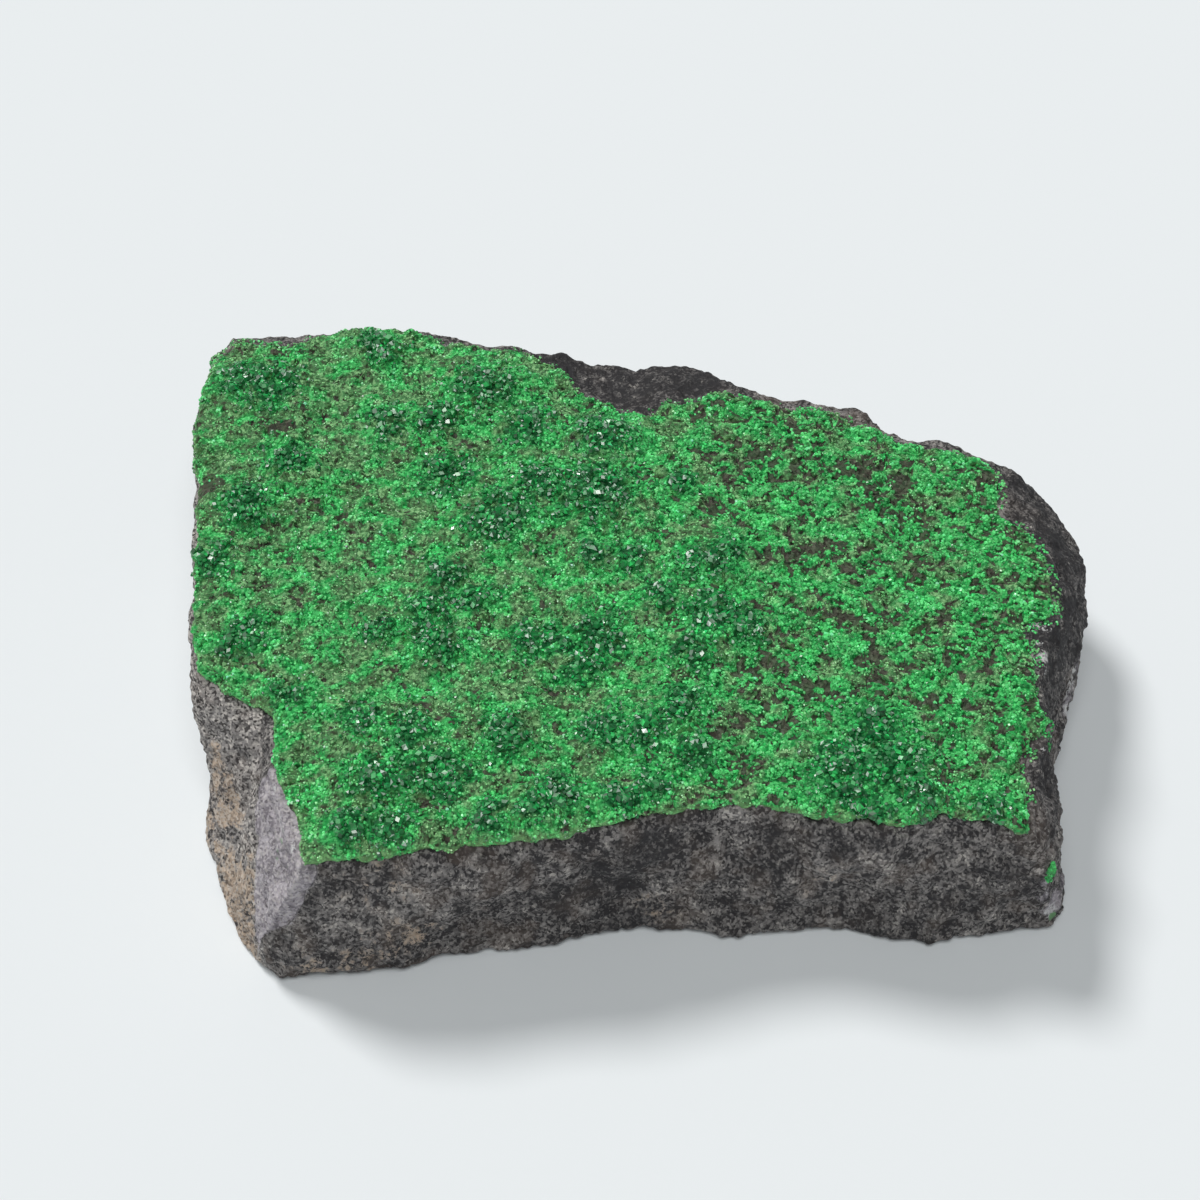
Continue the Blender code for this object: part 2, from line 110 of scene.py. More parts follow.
class Finish:
    """A material, its Principled shader and the nodes that feed it."""

    def __init__(self, name):
        self.material = bpy.data.materials.new(name)
        self.material.use_nodes = True
        self.tree = self.material.node_tree
        self.shader = self.tree.nodes["Principled BSDF"]

    def node(self, kind, settings=None, inputs=None, output=0):
        """Adds a node, makes its settings, fills its sockets and gives one of its outputs."""
        made = self.tree.nodes.new(kind)
        for name, value in (settings or {}).items():
            setattr(made, name, value)
        for name, value in (inputs or {}).items():
            self.feed(made.inputs[name], value)
        return Wire(self, made.outputs[output])

    def feed(self, socket, value):
        """Gives a socket a value or joins a wire to it."""
        if isinstance(value, Wire):
            self.tree.links.new(value.socket, socket)
        else:
            socket.default_value = value

    def set(self, **values):
        """Sets the Principled shader's sockets, with _ for a space in their names."""
        for name, value in values.items():
            self.feed(self.shader.inputs[name.replace("_", " ")], value)

    def vector_math(self, operation, *values, output=0):
        """One step of arithmetic on places or directions."""
        settings = {"operation": operation}
        return self.node("ShaderNodeVectorMath", settings, dict(enumerate(values)), output)

    def place(self, stretch=(1.0, 1.0, 1.0)):
        """Object coordinates in millimetres, stretched along the axes."""
        here = self.node("ShaderNodeTexCoord", output="Object")
        scale = tuple(1.0 / (MM * s) for s in stretch)
        return self.vector_math("MULTIPLY", here, scale)

    def drawn_out(self, where, way, share):
        """Places in which a texture comes out longer by a share along a direction."""
        along = self.vector_math("DOT_PRODUCT", where, way, output=1)
        cut = tuple(-share / (1 + share) * step for step in way)
        return self.vector_math("MULTIPLY_ADD", along, cut, where)

    def clouds(self, size, where, detail=3.0, rough=0.55):
        """Cloudy noise from 0 to 1 whose lumps are about size millimetres."""
        inputs = {"Vector": where, "Scale": 1.0 / size, "Detail": detail, "Roughness": rough}
        return self.node("ShaderNodeTexNoise", inputs=inputs)

    def grains(self, size, where, output="Color"):
        """Cells about size millimetres across, each with its own random value."""
        inputs = {"Vector": where, "Scale": 1.0 / size, "Randomness": 1.0}
        return self.node("ShaderNodeTexVoronoi", inputs=inputs, output=output)

    def facets(self, size, where):
        """Cells that each lean their own way: a random colour for each, and the height in millimetres."""
        colour = self.grains(size, where)
        middle = self.grains(size, where, output="Position")
        local = self.vector_math("SUBTRACT", where, middle)
        slope = self.vector_math("MULTIPLY_ADD", colour, (2.0, 2.0, 2.0), (-1.0, -1.0, -1.0))
        height = self.vector_math("DOT_PRODUCT", local, slope, output=1)
        return colour, height

    def channel(self, colour, which=0):
        """One channel of a colour."""
        return self.node("ShaderNodeSeparateColor", inputs={0: colour}, output=which)

    def mixed(self, share, first, second):
        """The second colour over the first by a share."""
        inputs = {0: share, 6: first, 7: second}
        return self.node("ShaderNodeMix", {"data_type": "RGBA"}, inputs, output=2)

    def painted(self, name, output="Fac"):
        """A value that the mesh carries under a name."""
        return self.node("ShaderNodeAttribute", {"attribute_name": name}, output=output)

    def bump(self, height, distance, strength=1.0):
        """A normal tilted by a height in units of distance metres."""
        inputs = {"Height": height, "Distance": distance, "Strength": strength}
        return self.node("ShaderNodeBump", inputs=inputs)


def only(piece):
    """Makes a piece the only selected one."""
    bpy.ops.object.select_all(action="DESELECT")
    piece.select_set(True)
    bpy.context.view_layer.objects.active = piece


def copy_of(node, name):
    """A copy of a CAD node's mesh with its doubled corners merged."""
    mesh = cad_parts[node].data.copy()
    mesh.materials.clear()
    piece = bpy.data.objects.new(name, mesh)
    bpy.context.scene.collection.objects.link(piece)
    only(piece)
    bpy.ops.mesh.customdata_custom_splitnormals_clear()
    bpy.ops.object.mode_set(mode="EDIT")
    bpy.ops.mesh.select_all(action="SELECT")
    bpy.ops.mesh.remove_doubles(threshold=WELD_GAP)
    bpy.ops.object.mode_set(mode="OBJECT")
    return piece


def unwrapped(piece):
    """Lays the piece's faces out flat while they are still few."""
    only(piece)
    while piece.data.uv_layers:
        piece.data.uv_layers.remove(piece.data.uv_layers[0])
    piece.data.uv_layers.new(name="OFBake")
    bpy.ops.object.mode_set(mode="EDIT")
    bpy.ops.mesh.select_all(action="SELECT")
    bpy.ops.uv.smart_project(angle_limit=math.radians(50), island_margin=0.003)
    bpy.ops.object.mode_set(mode="OBJECT")


def modified(piece, kind, **settings):
    """Applies one modifier."""
    only(piece)
    made = piece.modifiers.new(kind.lower(), kind)
    for name, value in settings.items():
        setattr(made, name, value)
    bpy.ops.object.modifier_apply(modifier=made.name)


def roughened(piece, kind, size, height, middle=0.5, **settings):
    """Moves the surface in and out by a procedural texture; size and height in millimetres."""
    texture = bpy.data.textures.new(f"{piece.name} {kind.lower()} {size}", kind)
    texture.noise_scale = size * MM
    for name, value in settings.items():
        setattr(texture, name, value)
    move = {"texture": texture, "texture_coords": "LOCAL", "strength": height * MM, "mid_level": middle}
    modified(piece, "DISPLACE", **move)


def corners(piece):
    """The piece's vertices as an array, in metres."""
    flat = np.empty(3 * len(piece.data.vertices), np.float32)
    piece.data.vertices.foreach_get("co", flat)
    return flat.reshape(-1, 3).astype(float)


def move_corners(piece, places):
    """Puts the piece's vertices at places given in metres."""
    piece.data.vertices.foreach_set("co", places.astype(np.float32).ravel())
    piece.data.update()


def kept_in_box(piece):
    """Presses what stands out of the CAD model's box back to it."""
    low, high = (np.array(corner) for corner in cad_box)
    move_corners(piece, np.clip(corners(piece), low, high))


def paint(piece, name, values):
    """Stores a value from 0 to 1 at each vertex."""
    layer = piece.data.attributes.new(name, "FLOAT", "POINT")
    layer.data.foreach_set("value", np.clip(values, 0, 1).astype(np.float32))


def on_grid(points):
    """The x and y of places given in metres, in this file's millimetres."""
    return points[:, 0] / MM - GRID_ZERO[0], points[:, 1] / MM - GRID_ZERO[1]


def blots(points, places):
    """Soft round spots, each with its x, y, z, radius and its strength in the middle, fading to 0."""
    total = np.zeros(len(points))
    for x, y, z, radius, strength in places:
        away = np.linalg.norm(points - np.array((x, y, z)), axis=1) / radius
        total = np.maximum(total, strength * np.exp(-(away ** 2)))
    return total


rock = copy_of("chromite_rock", "chromite_slab")
unwrapped(rock)
modified(rock, "SUBSURF", subdivision_type="SIMPLE", levels=ROCK_SPLITS, render_levels=ROCK_SPLITS)
modified(rock, "SMOOTH", factor=0.5, iterations=ROCK_SOFTENING)
# Swells, then chips, then fine roughness, each with its size and height
roughened(rock, "CLOUDS", 3.4, 1.2, noise_depth=2)
roughened(rock, "VORONOI", 1.6, -0.35, middle=0.35)
roughened(rock, "CLOUDS", 0.7, 0.5, noise_depth=2)
modified(rock, "DECIMATE", ratio=ROCK_THINNING)
# Well inside the druse the bed lies deeper, so that no rough spot of it comes through the garnets
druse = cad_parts["garnet_crust"].data
cover = BVHTree.FromPolygons([v.co for v in druse.vertices], [tuple(p.vertices) for p in druse.polygons])
rock_places = corners(rock)
ways = ((0, 0), (1, 0), (-1, 0), (0, 1), (0, -1))
around = [np.array((east * BED_REACH, north * BED_REACH, -MM)) for east, north in ways]
for number in np.flatnonzero(rock_places[:, 2] > BED_LEVEL):
    if all(cover.ray_cast(rock_places[number] + step, (0, 0, 1))[0] for step in around):
        rock_places[number, 2] -= BED_DROP
move_corners(rock, rock_places)
kept_in_box(rock)
rock_points = corners(rock) / MM - GRID_ZERO

# Marks on the walls, each with its x, y, z, radius and strength
TAN_PLACES = [
    (-31.0, -39.0, 4.0, 4.0, 0.45), (-26.0, -38.5, 7.0, 4.5, 0.55), (-36.0, -39.5, 3.0, 4.0, 0.4),
    (-28.0, -39.0, 19.0, 5.0, 0.3), (22.0, -34.5, 11.0, 4.0, 0.3), (3.0, -34.5, 5.0, 4.0, 0.3),
    (-44.0, 38.0, 9.0, 7.0, 0.5), (10.0, 34.0, 8.0, 8.0, 0.4), (-50.0, 14.0, 8.0, 7.0, 0.5),
]
FRESH_PLACES = [
    (-8.0, 35.0, 22.0, 5.0, 1.0), (0.0, 32.0, 22.0, 6.0, 1.0), (8.0, 33.0, 22.0, 6.0, 1.0),
    (50.0, 18.0, 20.0, 7.0, 1.0), (51.0, 8.0, 20.0, 7.0, 1.0), (51.5, -1.0, 20.0, 7.0, 1.0),
    (49.5, -9.0, 20.0, 6.0, 1.0), (48.0, -17.0, 20.0, 5.0, 1.0), (47.0, -25.0, 20.0, 5.0, 0.8),
    (-1.5, -34.0, 10.7, 3.5, 0.8), (2.9, -34.4, 20.0, 3.0, 0.8), (0.7, -35.0, 17.0, 3.0, 0.8),
    (-3.7, -35.1, 15.2, 2.5, 0.8), (-8.2, -35.7, 11.2, 2.5, 0.8), (16.1, -33.3, 18.5, 2.5, 0.7),
    (15.2, -34.4, 14.3, 2.0, 0.7), (26.9, -35.4, 20.4, 1.6, 0.8), (22.6, -35.3, 19.3, 1.8, 0.8),
    (36.8, -35.5, 8.0, 3.0, 0.7), (41.9, -35.3, 13.5, 3.0, 0.6), (44.3, -35.3, 11.6, 2.5, 0.6),
    (-36.5, -39.9, 18.0, 3.0, 0.7), (0.0, -34.0, 1.0, 4.0, 0.5), (30.0, -35.0, 1.0, 5.0, 0.5),
]
DUSTY_PLACES = [
    (18.2, -33.3, 21.4, 1.6, 0.8), (29.0, -35.0, 21.6, 1.6, 0.8), (31.3, -34.6, 20.7, 1.3, 0.7),
    (37.1, -34.5, 15.1, 1.5, 0.7), (37.5, -34.9, 12.9, 1.3, 0.6), (38.5, -34.3, 20.6, 1.6, 0.7),
    (24.9, -35.6, 17.5, 1.8, 1.0), (27.1, -35.6, 16.8, 1.5, 0.8), (28.4, -35.4, 14.5, 1.2, 0.7),
    (23.4, -35.2, 15.8, 1.5, 0.9), (22.2, -34.4, 12.2, 1.8, 0.9), (18.5, -34.8, 14.9, 1.8, 0.6),
    (35.4, -35.1, 11.3, 1.8, 0.5), (41.3, -35.0, 4.4, 1.6, 0.9), (28.7, -34.9, 2.9, 1.5, 0.6),
    (10.3, -32.6, 22.0, 1.7, 1.0), (11.2, -32.4, 19.1, 1.5, 0.7), (12.2, -32.6, 21.2, 1.4, 0.8),
    (3.1, -34.0, 9.3, 2.0, 0.9), (6.5, -34.0, 6.7, 1.4, 0.8), (9.4, -33.7, 13.8, 1.6, 0.8),
    (-7.0, -36.1, 15.1, 2.0, 0.5), (-31.4, -39.9, 11.6, 5.0, 0.5), (-23.4, -39.3, 15.6, 5.0, 0.5),
    (-17.9, -38.8, 17.8, 3.0, 0.4), (-51.0, 10.0, 10.0, 16.0, 0.7), (-47.2, -14.5, 20.0, 5.0, 0.8),
]
PALE_PLACES = [
    (46.4, -6.4, 22.8, 1.2, 0.8), (47.8, -6.6, 22.4, 1.0, 0.7), (46.7, -8.6, 22.7, 0.9, 0.7),
    (47.2, -10.8, 22.5, 1.0, 0.8), (47.4, -12.6, 22.2, 1.0, 0.7), (45.6, -24.0, 22.4, 0.9, 0.5),
    (52.3, -4.6, 12.0, 1.3, 0.8), (51.9, -6.2, 10.6, 1.7, 0.9), (51.7, -7.3, 9.0, 1.5, 0.8),
    (48.0, -33.5, 4.2, 1.5, 0.8), (47.2, -34.2, 9.0, 1.2, 0.7), (46.0, -34.8, 17.5, 1.0, 0.6),
    (-39.5, -29.3, 22.0, 1.0, 0.8), (-36.9, -37.0, 22.0, 1.0, 0.8), (-38.0, -33.2, 21.8, 1.0, 0.7),
]
LILAC_PLACES = [
    (48.6, -32.6, 4.6, 2.2, 1.0), (47.0, -34.6, 8.5, 2.0, 0.8), (46.4, -34.8, 12.0, 1.6, 0.7),
    (49.3, -29.5, 5.1, 2.0, 0.7), (52.7, -3.0, 12.0, 2.2, 0.6), (51.8, -6.8, 9.5, 2.5, 0.8),
]
GREY_PLACES = [
    (-48.8, -17.4, 9.9, 2.0, 0.7), (-48.8, -18.4, 5.3, 2.2, 0.7), (-48.2, -22.0, 4.4, 2.0, 0.8),
    (-47.5, -24.6, 5.1, 1.8, 0.9), (-45.6, -26.6, 7.0, 1.8, 0.9), (-43.5, -29.8, 10.5, 1.6, 0.8),
    (-49.1, -24.0, 1.1, 2.4, 0.7), (-48.6, -27.0, 1.5, 1.6, 0.6),
]
GREEN_TRACES = [
    (48.2, -32.8, 2.6, 0.7, 1.0), (-38.3, -34.3, 21.6, 0.5, 0.6), (-38.6, -34.6, 20.2, 0.5, 0.7),
    (-38.9, -34.9, 18.8, 0.5, 0.7), (-39.2, -35.2, 17.5, 0.5, 0.5), (-37.6, -36.8, 18.5, 0.7, 0.5),
]
# Outlines on the broken left corner, as seen from the left (y and z): the smooth facet and the tan wall
FACET_OUTLINE = [
    (-26.3, 22.6), (-26.2, 18.3), (-32.0, 14.9), (-35.2, 9.7), (-37.9, 3.0), (-39.2, 9.0), (-39.7, 11.5),
    (-40.2, 16.3), (-40.5, 19.2), (-40.6, 24.5), (-34.0, 24.5), (-28.5, 24.5),
]
# Three points of the facet's plane, how soft its outline is and how far off the plane it still counts
FACET_CORNERS = np.array([(-40.4, -26.3, 22.3), (-36.2, -40.1, 22.1), (-42.1, -38.0, 5.5)])
FACET_EDGE = 0.5
FACET_DEPTH = 2.4
TAN_OUTLINE = [
    (-17.1, 13.8), (-17.8, 15.4), (-19.7, 14.6), (-21.4, 13.0), (-22.9, 11.5), (-25.1, 8.8), (-26.6, 7.8),
    (-30.9, 12.0), (-32.2, 14.0), (-35.0, 9.0), (-37.9, 3.4), (-38.2, -1.0), (-28.0, -1.0), (-16.0, -1.0),
]
TAN_EDGE = 2.0
# The left wall starts at this x, and towards the back its dust thins out over these millimetres
LEFT_WALL_START = -41.0
LEFT_WALL_FADE = 8.0
# A thin powder lies on both ends of the slab, away from its middle
POWDER = 0.16
POWDER_MIDDLE = -10.0
POWDER_FREE = 15.0


def inside(across, up, outline, softness):
    """1 inside an outline and 0 outside, with a soft edge."""
    nearest = np.full(len(across), np.inf)
    within = np.zeros(len(across), bool)
    for (x0, y0), (x1, y1) in zip(outline, outline[1:] + outline[:1]):
        length = (x1 - x0) ** 2 + (y1 - y0) ** 2
        along = np.clip(((across - x0) * (x1 - x0) + (up - y0) * (y1 - y0)) / length, 0, 1)
        away = np.hypot(across - x0 - along * (x1 - x0), up - y0 - along * (y1 - y0))
        nearest = np.minimum(nearest, away)
        if y0 != y1:
            within ^= ((y0 > up) != (y1 > up)) & (across < x0 + (up - y0) * (x1 - x0) / (y1 - y0))
    return np.clip(0.5 + np.where(within, nearest, -nearest) / softness, 0, 1)


first, second, third = FACET_CORNERS
facing = np.cross(second - first, third - first)
off_plane = np.abs((rock_points - first) @ (facing / np.linalg.norm(facing)))
rock_x, rock_y, rock_z = rock_points.T
facet = inside(rock_y, rock_z, FACET_OUTLINE, FACET_EDGE) * np.clip(FACET_DEPTH - off_plane, 0, 1)
left_wall = np.clip(LEFT_WALL_START - rock_x, 0, 1) * np.clip(3 - rock_y / LEFT_WALL_FADE, 0, 1)
powder = POWDER * np.clip(np.abs(rock_x - POWDER_MIDDLE) / POWDER_FREE - 1, 0, 1)
tan = inside(rock_y, rock_z, TAN_OUTLINE, TAN_EDGE) * left_wall
tan = np.maximum(tan, blots(rock_points, TAN_PLACES)) * (1 - facet)
paint(rock, "tan", tan - blots(rock_points, GREY_PLACES))
paint(rock, "dust", np.maximum.reduce([facet, left_wall, powder, blots(rock_points, DUSTY_PLACES)]))
paint(rock, "green", blots(rock_points, GREEN_TRACES))
paint(rock, "corner", np.maximum(facet, left_wall))
paint(rock, "fresh", blots(rock_points, FRESH_PLACES))
paint(rock, "pale", blots(rock_points, PALE_PLACES))
paint(rock, "lilac", np.maximum(facet, blots(rock_points, LILAC_PLACES)))

ORE_BLACK = srgb(50, 48, 50)
ORE_GREY = srgb(150, 146, 144)
PALE_GRAIN = srgb(206, 200, 194)
FRESH_BLACK = srgb(46, 46, 49)
BROWN_STAIN = srgb(124, 108, 96)
TAN_DARK = srgb(128, 112, 98)
TAN_STAIN = srgb(202, 180, 158)
LILAC_FILM = srgb(192, 186, 193)
LILAC_DARK = srgb(126, 120, 128)
WHITE_FLECK = srgb(208, 208, 208)
GRAIN_SHADOW = srgb(52, 48, 48)
GREEN_TRACE = srgb(112, 158, 112)

ore = Finish("chromite ore")
# The grains lie lengthwise up the front, and aslant on the broken corner
upright = ore.place(stretch=(1.0, 1.0, 1.4))
aslant = ore.drawn_out(ore.place(), (0.27, -0.63, 0.73), 0.7)
where = ore.mixed(ore.painted("corner").above(0.45, 0.55), upright, aslant)
cluster = ore.clouds(1.9, where, detail=3.0, rough=0.6) - 0.5
wisp = ore.clouds(0.55, where, detail=5.0, rough=0.8) - 0.5
patch = ore.clouds(4.5, where, detail=2.0)
bits = ore.grains(0.27, where)
grain = ore.channel(bits) - 0.5
grit = ore.channel(bits, 1)
lump = ore.channel(ore.grains(0.62, where)) - 0.5
dust = ore.painted("dust")
fresh = ore.painted("fresh")
tan = ore.painted("tan")
lilac = ore.painted("lilac")
pale = ore.painted("pale")
# Black ore and grey grains, browner in broad patches and blacker where the break is fresh
level = cluster * 2.7 + wisp * 1.7 + grain * 1.4 + lump * 0.7 + dust * 0.75 - fresh * 0.5
shade = ore.mixed(level.above(-0.55, 1.0), ORE_BLACK, ORE_GREY)
brown_share = patch.above(0.48, 0.66) * (1 - fresh)
shade = ore.mixed(brown_share * 0.26, shade, BROWN_STAIN)
shade = ore.mixed(fresh * 0.65, shade, FRESH_BLACK)
# The tan stain and the lilac film, each uneven and broken up at its edge
tan_share = (tan - 0.2 + cluster * 3.6 + wisp * 1.6 + grain * 0.5).above(0.2, 0.8) * tan.above(0.0, 0.35)
tan_tone = (cluster * 1.4 + wisp * 1.4 + grain * 1.0).above(-0.8, 0.4)
shade = ore.mixed(tan_share * 0.8, shade, ore.mixed(tan_tone, TAN_DARK, TAN_STAIN))
lilac_share = (lilac + cluster * 1.0 + wisp * 0.8).above(0.3, 0.7) * lilac.above(0.0, 0.3)
film_tone = (cluster * 2.2 + wisp * 0.9 + grain * 0.8).above(-0.6, 0.6)
shade = ore.mixed(lilac_share * 0.85, shade, ore.mixed(film_tone, LILAC_DARK, LILAC_FILM))
# Pale grains and dark pits painted with shade, fewer under the stains, then the white flecks and the
# green traces
stained = (1 - 0.6 * lilac_share) * (1 - 0.5 * tan_share)
speck = grit.above(0.55, 0.8) * (cluster * 3.0 + wisp * 3.0 + dust * 0.7 - fresh * 0.2).above(0.1, 0.9)
shade = ore.mixed(speck * stained * 0.9, shade, PALE_GRAIN)
pit = (1 - grit.above(0.12, 0.3)) * (0.35 + dust * 0.5)
shade = ore.mixed(pit * stained, shade, GRAIN_SHADOW)
fleck = (pale + cluster * 1.4 + wisp * 2.4).above(0.45, 0.75) * pale.above(0.05, 0.4)
shade = ore.mixed(fleck, shade, WHITE_FLECK)
shade = ore.mixed((ore.painted("green") + wisp * 0.8).above(0.3, 0.7), shade, GREEN_TRACE)
ore.set(Base_Color=shade, Roughness=0.8 - 0.25 * speck, Specular_IOR_Level=0.35)
relief = wisp * 0.8 + grain * 0.7 + lump * 0.5 + speck * 0.3 - pit * 0.4
ore.set(Normal=ore.bump(relief * (1 - 0.6 * lilac_share), 0.22 * MM, 0.8))
rock.data.materials.append(ore.material)
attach(rock, "root")
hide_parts("chromite_rock")

# The druse's ground: a thin crust of intergrown garnets too small to tell apart, grown on the slab's
# upper face in low swells, with the dark ore showing through in specks. Its broken edge shows pale green.

CRUST_SPLITS = 2
CRUST_SOFTENING = 6
# How far the crust's underside goes down into the ore and how far it draws back under the rim
CRUST_SINK = 0.6 * MM
CRUST_TUCK = 0.5 * MM
# The swell under each nest: its reach in radii of the nest and its height in millimetres
SWELL_REACH = 1.5
SWELL_HEIGHT = 0.8
# In millimetres: the rise of a nest, the dip of a bare spot and the room left for the crystals
NEST_RISE = 0.3
BARE_DIP = 0.3
CRUST_DROP = 0.5
# The pale broken edge shows where the crust's side turns down, its normal lower than this
RIM_START = 0.75
RIM_SOFTNESS = 0.3
# Where the garnets grew coarser and darker: x, y and radius of each nest
NESTS = np.array([
    (-3, 21, 3.2), (-4.5, 11.5, 4.2), (-11, 12.5, 3.0), (-15.5, 7.5, 3.4), (0, 1.5, 2.0), (-4.5, 2, 1.8),
    (9, 1, 2.8), (3.5, -4, 2.0), (9.5, -7, 3.0), (13, -8.5, 2.2), (6.5, -12.5, 2.0), (-3.5, -9.5, 3.0),
    (-5.5, -14, 2.4), (-9.5, -10.5, 2.6), (-12, -10.5, 1.8), (-23.5, -6.5, 2.6), (-22, -11, 2.2),
    (-29, -9, 1.8), (-44.5, -9.5, 2.4), (-49, 2.5, 2.2), (-45.5, 10.5, 2.8), (-41, 17.5, 2.6),
    (-44.5, 30, 3.4), (-48, 31, 2.4), (-31, 37, 2.6), (-29.5, 24, 2.2), (-23.5, 24, 2.4), (-22, 15, 2.8),
    (-18, 29, 3.6), (-12.5, 23, 2.6), (5, -20, 2.4), (1.5, -23.5, 2.0), (7, -26.5, 1.8), (-3.5, -23, 2.4),
    (-14, -24, 2.6), (-25, -23.5, 2.4), (-30.5, -22, 2.2), (-39, -18.5, 2.0), (-8.5, -32, 2.4),
    (-11, -34, 1.8), (-15.5, -35, 1.8), (-1.5, -32, 1.8), (2, -30, 1.8), (28.5, -27, 3.6), (23, -27, 3.0),
    (27, -22, 2.8), (25, -33.5, 2.2), (23, -30.5, 2.6), (31, -32, 2.4), (39, -33, 1.8), (6, 13.5, 1.8),
    (-22.5, -29, 2.8), (-28, -30, 2.6), (-30.5, -36, 2.2), (-26, -36.5, 2.2), (-20, -30, 2.2),
    (-21.5, -1, 2.0), (-18, -4.5, 2.0), (11, 2.5, 1.8),
])
# Bare spots of rock: x, y and half sizes
BARE_SPOTS = np.array([
    (-50.5, 14.5, 2.4, 2.0), (-43, 24, 4.0, 1.3), (-43, 36.8, 2.4, 0.9), (8, 4, 1.6, 1.0),
    (22, 4, 2.2, 1.2), (26, -12.5, 1.8, 1.0), (15.5, -13, 1.6, 0.9), (16.5, -22, 1.6, 0.9),
    (33, -18.5, 1.8, 1.0), (10, 9.5, 1.8, 0.9), (27.5, 16, 1.5, 1.3), (32, 14.5, 1.4, 1.2),
    (33, 17.5, 1.2, 1.0),
])


def cloudy(x, y, size_x, size_y, seed):
    """Smooth noise of about -1 to 1, with its own size along x and y."""
    return np.array([noise.noise((a / size_x, b / size_y, seed)) for a, b in zip(x, y)])


def round_spots(x, y, spots):
    """Soft spots on the level, each with its x, y and radius: 1 in the middle, fading to 0."""
    return blots(np.stack([x, y, 0 * x], axis=1), [(a, b, 0, radius, 1) for a, b, radius in spots])


def wandered(x, y):
    """Places moved about a little, so that what is drawn round comes out ragged."""
    return x + 1.3 * cloudy(x, y, 2.2, 2.2, 1.7), y + 1.3 * cloudy(x, y, 2.2, 2.2, 9.2)


def nest_share(x, y):
    """How coarse the garnets are at places on the crust, from 0 to 1."""
    x, y = wandered(x, y)
    share = np.zeros(len(x))
    for nest_x, nest_y, radius in NESTS:
        away = np.hypot(x - nest_x, y - nest_y) / (1.1 * radius)
        share = np.maximum(share, np.clip(1.25 * np.exp(-(away ** 2)), 0, 1))
    return share * np.clip(0.85 + 1.2 * cloudy(x, y, 0.9, 0.8, 4.4), 0, 1)


def bare_share(x, y):
    """How surely the ore shows through at places on the crust, from 0 to 1; more so on the right."""
    flecks = 0.75 * cloudy(x, y, 0.9, 0.6, 3.1) + 0.5 * cloudy(x, y, 2.6, 1.7, 7.7)
    drift = cloudy(x, y, 9.0, 6.0, 11.3)
    rightness = 1 / (1 + np.exp(-(x - 4.0) / 5.0))
    level = 0.36 - 0.25 * rightness - 0.16 * drift
    share = np.clip((flecks - level) / 0.05, 0, 1)
    for spot_x, spot_y, half_x, half_y in BARE_SPOTS:
        away = np.hypot((x - spot_x) / half_x, (y - spot_y) / half_y)
        share = np.maximum(share, np.clip(1.4 - away + 1.6 * flecks, 0, 1))
    return share * (1 - np.clip(nest_share(x, y) * 2, 0, 1))


def fresh_share(x, y):
    """How green the fine garnets are at places on the crust; where they are thin it is near 0."""
    rightness = 1 / (1 + np.exp(-(x - 6.0) / 6.0))
    halo = np.clip(2.2 * nest_share(x, y), 0, 1)
    patches = 1.1 * cloudy(x, y, 3.4, 2.7, 15.1) + 0.7 * cloudy(x, y, 1.2, 0.9, 18.4)
    corner = np.exp(-(((x + 42) / 16) ** 2) - (((y - 30) / 12) ** 2))
    return np.clip(0.40 + patches + 0.34 * rightness + 0.5 * halo - 0.12 * corner, 0, 1)


crust = copy_of("garnet_crust", "crust_floor")
crust_mesh = bmesh.new()
crust_mesh.from_mesh(crust.data)
under = {v for face in crust_mesh.faces if face.normal.z < -0.9 for v in face.verts}
for vert in under:
    # At the rim the underside slopes inwards, so that nothing hangs past the slab's edge
    outward = sum((f.normal for f in vert.link_faces if f.normal.z > -0.9), Vector())
    outward.z = 0
    vert.co.z -= CRUST_SINK
    if outward.length > 0:
        vert.co -= outward.normalized() * CRUST_TUCK
crust_mesh.to_mesh(crust.data)
crust_mesh.free()
unwrapped(crust)
modified(crust, "SUBSURF", subdivision_type="SIMPLE", levels=CRUST_SPLITS, render_levels=CRUST_SPLITS)
modified(crust, "SMOOTH", factor=0.5, iterations=CRUST_SOFTENING)
roughened(crust, "CLOUDS", 3.0, 1.5, middle=0.6, noise_depth=2)
roughened(crust, "VORONOI", 1.1, 0.35, middle=0.5)
crust_points = corners(crust)
crust_x, crust_y = on_grid(crust_points)
bare = bare_share(crust_x, crust_y)
nest = nest_share(crust_x, crust_y)
swells = round_spots(crust_x, crust_y, [(a, b, SWELL_REACH * radius) for a, b, radius in NESTS])
rise = SWELL_HEIGHT * swells - CRUST_DROP + NEST_RISE * nest - BARE_DIP * bare
crust_points[:, 2] += rise * MM
move_corners(crust, crust_points)
kept_in_box(crust)
paint(crust, "bare", bare)
paint(crust, "nest", nest)
paint(crust, "fresh", fresh_share(crust_x, crust_y))
tilt = np.empty(3 * len(crust.data.vertices), np.float32)
crust.data.vertices.foreach_get("normal", tilt)
paint(crust, "rim", (RIM_START - tilt.reshape(-1, 3)[:, 2]) / RIM_SOFTNESS)

FRESH_GREEN = srgb(94, 214, 122)
LEAF_GREEN = srgb(36, 160, 76)
# Painted shade: the dark green of the crust's ground where it lies in the shadow between the crystals
PAINTED_SHADE_GREEN = srgb(6, 70, 32)
DEEP_GREEN = srgb(0, 98, 46)
THIN_PALE = srgb(138, 192, 130)
THIN_GREEN = srgb(74, 134, 80)
THIN_BROWN = srgb(68, 70, 54)
BARE_ORE = srgb(92, 82, 76)
BARE_SHADE = srgb(50, 46, 44)
RIM_GREEN = srgb(140, 196, 126)

